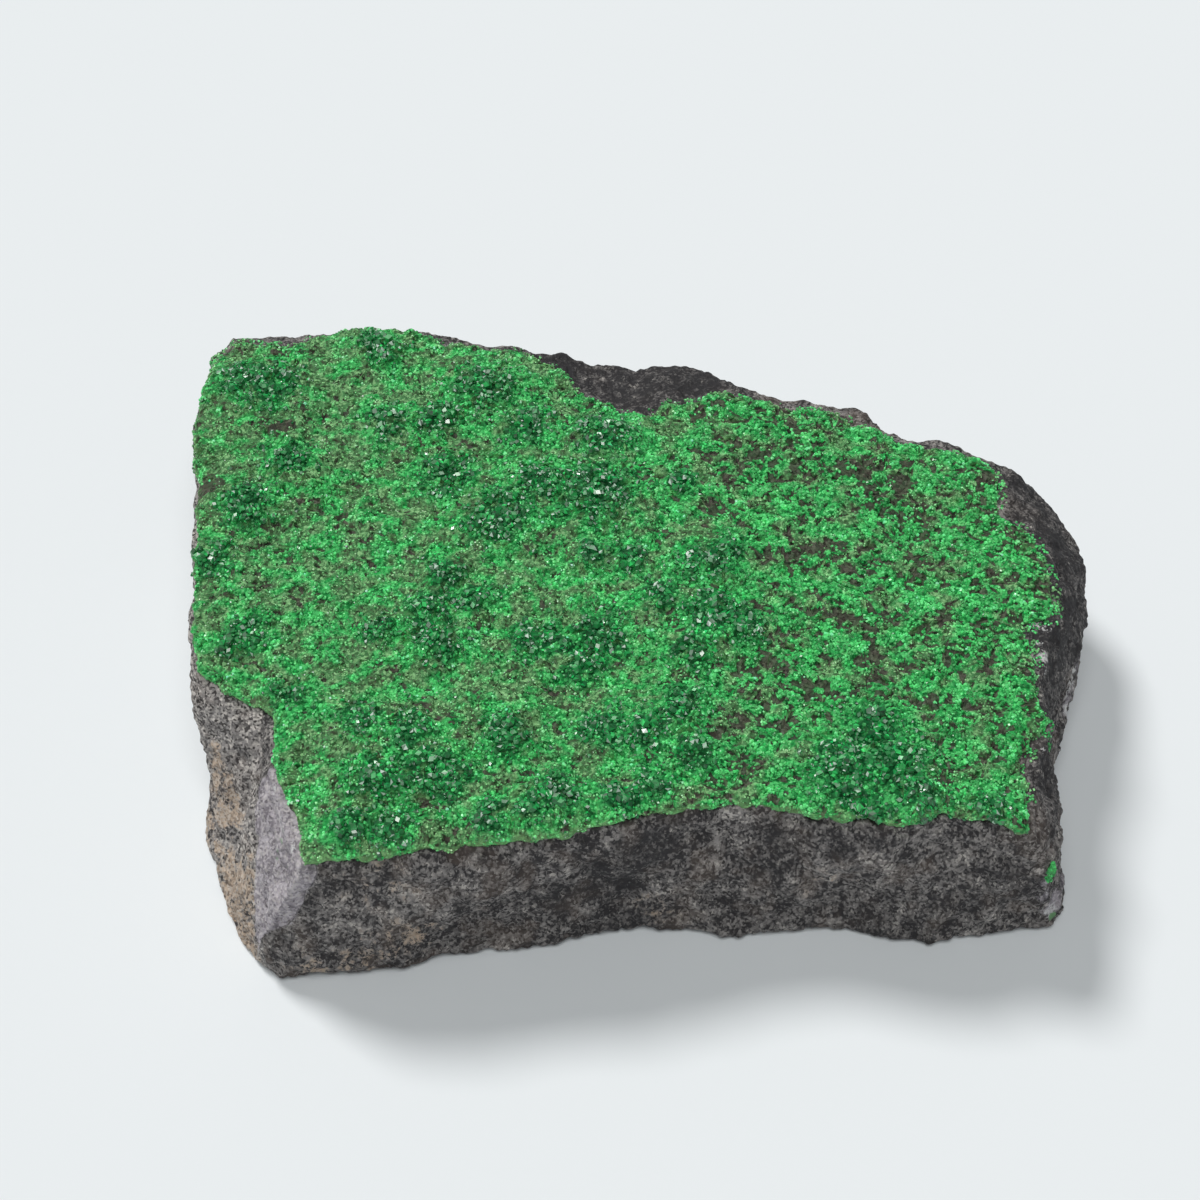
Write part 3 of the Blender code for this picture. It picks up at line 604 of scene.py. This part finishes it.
sugar = Finish("fine garnet crust")
where = sugar.place()
facet_colour, facet_height = sugar.facets(0.34, where)
first = sugar.channel(facet_colour)
second = sugar.channel(facet_colour, 1)
third = sugar.channel(facet_colour, 2)
drift = sugar.clouds(1.8, where, detail=5.0, rough=0.75)
clump = sugar.clouds(0.7, where, detail=2.0)
light = first * 0.35 + clump * 0.9 + drift * 0.7
thin = sugar.mixed(light.above(0.6, 1.1), THIN_BROWN, THIN_GREEN)
thin = sugar.mixed((light + second * 0.4).above(1.15, 1.45), thin, THIN_PALE)
# The green ground runs from painted shade to leaf green and fresh green by a cloudy noise
green = sugar.mixed(light.above(0.6, 1.05), PAINTED_SHADE_GREEN, LEAF_GREEN)
green = sugar.mixed((light + second * 0.3).above(1.05, 1.4), green, FRESH_GREEN)
green = sugar.mixed((sugar.painted("fresh") + (drift - 0.5)).above(0.25, 0.75), thin, green)
# Under the nests the ground is deep green with painted shade between the coarse crystals
nest_green_and_shade = sugar.mixed(first, PAINTED_SHADE_GREEN, DEEP_GREEN)
green = sugar.mixed(sugar.painted("nest").above(0.2, 0.7), green, nest_green_and_shade)
bare_here = (sugar.painted("bare") + (third - 0.5) * 0.3 + (drift - 0.5) * 0.7).above(0.35, 0.55)
green = sugar.mixed(bare_here * 0.9, green, sugar.mixed(second, BARE_SHADE, BARE_ORE))
green = sugar.mixed(sugar.painted("rim") * 0.5, green, RIM_GREEN)
sugar.set(Base_Color=green, Roughness=0.5 + 0.4 * third, Specular_IOR_Level=0.3)
sugar.set(Normal=sugar.bump(facet_height, 0.7 * MM))
crust.data.materials.append(sugar.material)
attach(crust, "root")
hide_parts("garnet_crust")

# The fine garnets on the druse: green twelve-faced crystals, mostly a quarter to half a millimetre
# across, grown half out of the crust and leaning every way. They are smaller and paler where the crust
# is thin, and they are joined into a few meshes.

SHAPE_COUNT = 14
# Where a crystal goes into the crust and where its hidden root ends, in radii below its middle
BURIED = -0.25
ROOT_DEPTH = -0.75
LEAN = 0.25
FINE_COUNT = 62000
PIECE_COUNT = 11500
THIN_RADIUS = 0.12
FINE_RADIUS = 0.22
FINE_SINK = 0.25
# How much painted sheen makes the facets of one fine crystal differ in brightness, and the share of them
# painted pale as painted glints
FINE_SHEEN_SPREAD = 0.15
FINE_GLINT_SHARE = 0.004
# The pale colour of the painted glints, standing in for facets that flash in the lamp's light
PAINTED_GLINT = srgb(196, 216, 202)


def garnet_shapes():
    """Twelve-faced garnets turned at random, each closed to a point below the crust."""
    rng = np.random.default_rng(4)
    ends = [Vector(e) for e in ((1, 0, 0), (-1, 0, 0), (0, 1, 0), (0, -1, 0), (0, 0, 1), (0, 0, -1))]
    ends += [Vector((a, b, c)) / 2 for a in (-1, 1) for b in (-1, 1) for c in (-1, 1)]
    shapes = []
    for _ in range(SHAPE_COUNT):
        turn = Quaternion(rng.normal(size=4)).normalized()
        hull = bmesh.new()
        for end in ends:
            spot = turn @ end
            if spot.z > BURIED:
                hull.verts.new(spot)
        hull.verts.new((0, 0, ROOT_DEPTH))
        made = bmesh.ops.convex_hull(hull, input=hull.verts)
        loose = [g for g in made["geom_interior"] if isinstance(g, bmesh.types.BMVert)]
        bmesh.ops.delete(hull, geom=loose, context="VERTS")
        bmesh.ops.triangulate(hull, faces=hull.faces)
        bmesh.ops.recalc_face_normals(hull, faces=hull.faces)
        hull.verts.index_update()
        places = np.array([v.co for v in hull.verts])
        faces = np.array([[v.index for v in f.verts] for f in hull.faces])
        shapes.append((places, faces))
        hull.free()
    return shapes


def scattered(piece, count, rng):
    """Random places on a piece's upper and side faces: points and outward normals, in metres."""
    mesh = piece.data
    mesh.calc_loop_triangles()
    index = np.empty(3 * len(mesh.loop_triangles), np.int32)
    mesh.loop_triangles.foreach_get("vertices", index)
    faces = corners(piece)[index.reshape(-1, 3)]
    across = np.cross(faces[:, 1] - faces[:, 0], faces[:, 2] - faces[:, 0])
    size = np.linalg.norm(across, axis=1)
    normal = across / np.maximum(size, 1e-15)[:, None]
    weight = size * (normal[:, 2] > -0.3)
    chosen = rng.choice(len(faces), count, p=weight / weight.sum())
    u, v = rng.random(count), rng.random(count)
    over = u + v > 1
    u[over], v[over] = 1 - u[over], 1 - v[over]
    face = faces[chosen]
    points = face[:, 0] + u[:, None] * (face[:, 1] - face[:, 0]) + v[:, None] * (face[:, 2] - face[:, 0])
    return points, normal[chosen]


def grown(name, points, normals, radii, tints, finish, rng, sheen_spread=FINE_SHEEN_SPREAD, glint_share=FINE_GLINT_SHARE):
    """One mesh of crystals, each with its own shape, turn, size and tint; painted sheen varies their
    facets and some facets carry painted glints.
    """
    shapes = garnet_shapes()
    pick = rng.integers(0, len(shapes), len(points))
    turn = rng.uniform(0, 2 * np.pi, len(points))
    lean = rng.normal(0, LEAN, (len(points), 3))
    up = normals + lean
    up /= np.linalg.norm(up, axis=1)[:, None]
    # Any level direction that no crystal grows along gives each of them a side to turn from
    side = np.cross(up, np.array((0.31, 0.95, 0.02)))
    side /= np.linalg.norm(side, axis=1)[:, None]
    other = np.cross(up, side)
    east = side * np.cos(turn)[:, None] + other * np.sin(turn)[:, None]
    north = np.cross(up, east)
    low, high = (np.array(corner) for corner in cad_box)
    verts, faces, colours, squares = [], [], [], []
    cells = math.ceil(math.sqrt(len(points)))
    start, cell = 0, 0
    for kind, (places, sides) in enumerate(shapes):
        mine = pick == kind
        many = int(mine.sum())
        spots = places[None, :, :] * radii[mine][:, None, None]
        world = (
            points[mine][:, None, :]
            + spots[:, :, 0:1] * east[mine][:, None, :]
            + spots[:, :, 1:2] * north[mine][:, None, :]
            + spots[:, :, 2:3] * up[mine][:, None, :]
        )
        outside = np.maximum(world.max(axis=1) - high, 0) + np.minimum(world.min(axis=1) - low, 0)
        verts.append((world - outside[:, None, :]).reshape(-1, 3))
        offsets = start + len(places) * np.arange(many)
        faces.append((sides[None, :, :] + offsets[:, None, None]).reshape(-1, 3))
        # Painted sheen: each facet is made lighter or darker on its own, as if it caught the light its
        # own way
        painted_sheen = np.exp(rng.normal(0, sheen_spread, (many, len(sides), 1)))
        shown = np.repeat(tints[mine][:, None, :], len(sides), axis=1)
        shown[:, :, :3] = np.clip(shown[:, :, :3] * painted_sheen, 0, 0.9)
        # Painted glints: a share of the facets is turned pale, where a clean face would reflect the lamp
        glinting = rng.random((many, len(sides))) < glint_share
        glint_amount = rng.uniform(0.6, 1.0, (glinting.sum(), 1))
        shown[glinting, :3] += glint_amount * (np.array(PAINTED_GLINT[:3]) - shown[glinting, :3])
        colours.append(np.repeat(shown.reshape(-1, 4), 3, axis=0))
        # Each crystal has one square of the flat picture to itself
        number = cell + np.arange(many)
        flat = np.stack([
            0.5 + 0.33 * places[:, 0] + 0.10 * places[:, 2],
            0.5 + 0.33 * places[:, 1] - 0.08 * places[:, 2],
        ], axis=1)[sides.ravel()]
        corner = np.stack([number % cells, number // cells], axis=1)
        squares.append(((corner[:, None, :] + flat[None, :, :]) / cells).reshape(-1, 2))
        start += len(places) * many
        cell += many
    verts, faces = np.concatenate(verts), np.concatenate(faces)
    colours, squares = np.concatenate(colours), np.concatenate(squares)
    mesh = bpy.data.meshes.new(name)
    mesh.vertices.add(len(verts))
    mesh.vertices.foreach_set("co", verts.astype(np.float32).ravel())
    mesh.loops.add(3 * len(faces))
    mesh.loops.foreach_set("vertex_index", faces.astype(np.int32).ravel())
    mesh.polygons.add(len(faces))
    mesh.polygons.foreach_set("loop_start", np.arange(0, 3 * len(faces), 3, dtype=np.int32))
    mesh.uv_layers.new(name="OFBake").data.foreach_set("uv", squares.astype(np.float32).ravel())
    layer = mesh.attributes.new("tint", "FLOAT_COLOR", "CORNER")
    layer.data.foreach_set("color", colours.astype(np.float32).ravel())
    mesh.update(calc_edges=True)
    mesh.shade_flat()
    mesh.materials.append(finish.material)
    piece = bpy.data.objects.new(name, mesh)
    bpy.context.scene.collection.objects.link(piece)
    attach(piece, "root")


def blended(first, second, share):
    """Colours between two, one for each share."""
    return np.array(first)[None, :] * (1 - share[:, None]) + np.array(second)[None, :] * share[:, None]


fine = Finish("fine garnets")
fine.set(Base_Color=fine.painted("tint", "Color"), Roughness=fine.painted("tint", "Alpha"))
fine.set(IOR=1.6)


def fine_tints(x, y, coarse, fresh, rng):
    """Colours of fine garnets at places on the crust: patches of fresh, leaf and pale thin green."""
    light = np.clip(0.5 + 0.9 * cloudy(x, y, 1.7, 1.3, 5.0) + rng.normal(0, 0.14, len(x)), 0, 1)
    mossy = np.clip(fresh + rng.normal(0, 0.06, len(x)), 0, 1)[:, None]
    tints = blended(LEAF_GREEN, FRESH_GREEN, light) * mossy
    tints += blended(THIN_GREEN, THIN_PALE, light) * (1 - mossy)
    tints = tints * (1 - 0.8 * coarse[:, None]) + np.array(DEEP_GREEN) * 0.8 * coarse[:, None]
    shade = 0.9 * cloudy(x, y, 0.7, 0.6, 6.0) + 0.6 * cloudy(x, y, 3.6, 2.4, 23.0)
    # The crystals differ more from each other on the left and in the middle than on the bright right
    speckle = np.where(x < 10, 0.42, 0.28)
    tints *= np.exp(shade + speckle * rng.normal(0, 1, len(x)))[:, None]
    tints[:, 3] = np.where(rng.random(len(x)) < 0.2, 0.3, rng.uniform(0.45, 0.75, len(x)))
    return tints


rng = np.random.default_rng(21)
points, normals = scattered(crust, FINE_COUNT, rng)
x, y = on_grid(points)
coarse = nest_share(x, y)
fresh = fresh_share(x, y)
chance = (1 - 0.94 * bare_share(x, y)) * (1 - 0.8 * coarse) * (0.55 + 0.45 * fresh)
keep = rng.random(len(x)) < chance
points, normals, x, y, coarse, fresh = (v[keep] for v in (points, normals, x, y, coarse, fresh))
tints = fine_tints(x, y, coarse, fresh, rng)
radii = (THIN_RADIUS + (FINE_RADIUS - THIN_RADIUS) * fresh) * rng.uniform(0.7, 1.4, len(x)) * MM
points -= FINE_SINK * radii[:, None] * normals
for number, start in enumerate(range(0, len(x), PIECE_COUNT)):
    part = slice(start, start + PIECE_COUNT)
    name = f"fine_garnets_{number + 1}"
    grown(name, points[part], normals[part], radii[part], tints[part], fine, rng)

# Garnets along the druse's ragged right and back rim: the same fine crystals, grown straight on the ore
# outside the crust. They get fewer outwards and end within about two millimetres, further at the far left
# corner.

RIM_COUNT = 120000
RIM_RADIUS = (0.12, 0.26)
# Where they grow: high up and on no steep face, at the right end or at the back
RIM_LEVEL = 16 * MM
RIM_SLOPE = 0.15
RIM_RIGHT = 42
RIM_FRONT = -31
RIM_BACK = 18
# In millimetres: how near the crust the first of them stand, and their least and their wandering reach
RIM_GAP = 0.12
RIM_REACH = 0.3
RIM_WANDER = 1.6
FAR_CORNER = [(-50, 38, 6), (-35, 38, 3)]
FAR_CORNER_REACH = 2.0
crust_faces = [tuple(p.vertices) for p in crust.data.polygons]
under_crust = BVHTree.FromPolygons(corners(crust).tolist(), crust_faces)
points, normals = scattered(rock, RIM_COUNT, rng)
x, y = on_grid(points)
right_end = (x > RIM_RIGHT) & (y > RIM_FRONT)
near = (points[:, 2] > RIM_LEVEL) & (normals[:, 2] > RIM_SLOPE) & (right_end | (y > RIM_BACK))
points, normals, x, y = points[near], normals[near], x[near], y[near]
# A place with no crust within four millimetres counts as a metre away
closest = np.array([under_crust.find_nearest(p, 4 * MM)[0] or (1, 1, 1) for p in points.tolist()])
away = np.hypot(*(closest - points)[:, :2].T) / MM
ragged = np.clip(0.5 + 1.6 * cloudy(x, y, 1.9, 1.5, 31.0), 0, 1)
reach = RIM_REACH + RIM_WANDER * ragged + FAR_CORNER_REACH * round_spots(x, y, FAR_CORNER)
keep = (away > RIM_GAP) & (rng.random(len(x)) < 1.5 * (1 - away / reach))
points, normals, x, y = points[keep], normals[keep], x[keep], y[keep]
tints = fine_tints(x, y, np.zeros(len(x)), fresh_share(x, y), rng)
radii = rng.uniform(*RIM_RADIUS, len(x)) * MM
grown("rim_garnets", points, normals, radii, tints, fine, rng)

# Coarse garnets in the nests: clear dark green crystals, up to a millimetre and more across, crowded on
# the swells of the crust. Some of their larger faces flash in the lamp's light; a share of their facets
# is painted pale as painted glints.

NEST_COUNT = 42000
NEST_RADIUS = (0.22, 0.7)
# How much painted sheen varies the facets, and the share of them painted pale as painted glints
NEST_SHEEN_SPREAD = 0.5
NEST_GLINT_SHARE = 0.06
bright = Finish("coarse garnets")
bright.set(Base_Color=bright.painted("tint", "Color"), Roughness=bright.painted("tint", "Alpha"))
bright.set(IOR=1.86)
points, normals = scattered(crust, NEST_COUNT, rng)
x, y = on_grid(points)
coarse = nest_share(x, y)
keep = rng.random(len(x)) < coarse ** 1.3
points, normals, coarse = points[keep], normals[keep], coarse[keep]
light = np.clip(0.3 + rng.normal(0, 0.25, len(points)), 0, 1)
tints = blended(DEEP_GREEN, LEAF_GREEN, light)
tints[:, 3] = rng.uniform(0.28, 0.55, len(points))
smaller, larger = NEST_RADIUS
radii = (smaller + (larger - smaller) * rng.random(len(points)) ** 1.6) * (0.6 + 0.4 * coarse) * MM
grown("nest_garnets", points, normals, radii, tints, bright, rng, NEST_SHEEN_SPREAD, NEST_GLINT_SHARE)

# The patch of garnets left low on the front right corner: a thin remnant of the same green crust, two or
# three millimetres across, with fine crystals on it. It grows on a fresh face of the ore, apart from the
# main druse.

# The point on the ore that the patch sits on, and its size as a share of the CAD patch
PATCH_ROOT = np.array([45.0, -35.0, 14.4]) * MM
PATCH_SHARE = 0.7
PATCH_COUNT = 900
PATCH_RADIUS = (0.1, 0.22)
# Heights in millimetres above which the crust is green and the crystals stand
PATCH_GREEN_FROM = 13.3
PATCH_GREEN_FADE = 0.6
PATCH_CRYSTALS_FROM = 13.5
PATCH_CRYSTALS_WANDER = 0.25
patch = copy_of("side_garnets", "corner_garnets")
unwrapped(patch)
# The garnets cover only the middle of the patch's bed
move_corners(patch, PATCH_ROOT + PATCH_SHARE * (corners(patch) - PATCH_ROOT))
modified(patch, "SUBSURF", subdivision_type="SIMPLE", levels=3, render_levels=3)
modified(patch, "SMOOTH", factor=0.5, iterations=3)
roughened(patch, "CLOUDS", 1.2, 0.8, middle=0.7)
kept_in_box(patch)
patch_points = corners(patch)
covered = np.clip((patch_points[:, 2] / MM - PATCH_GREEN_FROM) / PATCH_GREEN_FADE, 0, 1)
paint(patch, "bare", 1 - covered)
paint(patch, "nest", 0 * covered)
paint(patch, "rim", 0 * covered)
paint(patch, "fresh", 1 + 0 * covered)
points, normals = scattered(patch, PATCH_COUNT, rng)
lowest = PATCH_CRYSTALS_FROM + rng.normal(0, PATCH_CRYSTALS_WANDER, len(points))
keep = points[:, 2] / MM > lowest
points, normals = points[keep], normals[keep]
green = np.ones(len(points))
tints = fine_tints(points[:, 0] / MM, points[:, 2] / MM, 0 * green, green, rng)
radii = rng.uniform(*PATCH_RADIUS, len(points)) * MM
grown("corner_crystals", points, normals, radii, tints, fine, rng)
patch.data.materials.append(sugar.material)
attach(patch, "root")
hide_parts("side_garnets")

# The floor, a wide pale board that the slab lies on, and the studio's light: a broad lamp behind on the
# left, a broader one over the camera and a dim room.

FLOOR_COLOUR = srgb(233, 237, 240)
FLOOR_WIDTH = 6.0
bpy.ops.object.select_all(action="DESELECT")
bpy.ops.mesh.primitive_plane_add(size=FLOOR_WIDTH, location=(0, 0, 0))
floor = bpy.context.object
floor.name = "floor"
board = Finish("pale board")
board.set(Base_Color=FLOOR_COLOUR, Roughness=0.9, Specular_IOR_Level=0.0)
floor.data.materials.append(board.material)


def lamp(name, strength, width, towards, colour):
    """A far, broad lamp; its width is an angle in degrees and towards is the way its light goes."""
    light = bpy.data.lights.new(name, "SUN")
    light.energy = strength
    light.angle = math.radians(width)
    light.color = colour
    made = bpy.data.objects.new(name, light)
    bpy.context.scene.collection.objects.link(made)
    made.rotation_euler = Vector(towards).to_track_quat("-Z", "Y").to_euler()


lamp("key", 1.89, 16.0, (12, -11, -25), (1.0, 0.99, 0.97))
lamp("fill", 1.31, 30.0, (0.0, 0.37, -0.93), (0.98, 1.0, 0.99))

room = bpy.data.worlds.new("room")
room.use_nodes = True
air = room.node_tree.nodes["Background"]
air.inputs["Color"].default_value = (0.98, 0.99, 1.0, 1.0)
air.inputs["Strength"].default_value = 0.12
bpy.context.scene.world = room
bpy.context.scene.view_settings.view_transform = "Standard"

# The camera: a long lens on a full-frame body, square to the slab's front and looking steeply down at it.
# Its distance and the point that it looks at are in millimetres.

LENS = 85.0
FRAME_WIDTH = 36.0
FAR = 358.65
LOOK_DOWN = math.radians(50)
AIM = np.array([-3.7, 16.7, 0.0])
camera = bpy.data.cameras.new("camera")
camera.lens = LENS
camera.sensor_width = FRAME_WIDTH
camera.clip_start = 0.01
eye = bpy.data.objects.new("camera", camera)
bpy.context.scene.collection.objects.link(eye)
back = np.array([0.0, -math.cos(LOOK_DOWN), math.sin(LOOK_DOWN)])
eye.location = (AIM + GRID_ZERO + FAR * back) * MM
eye.rotation_euler = (math.pi / 2 - LOOK_DOWN, 0, 0)
bpy.context.scene.camera = eye
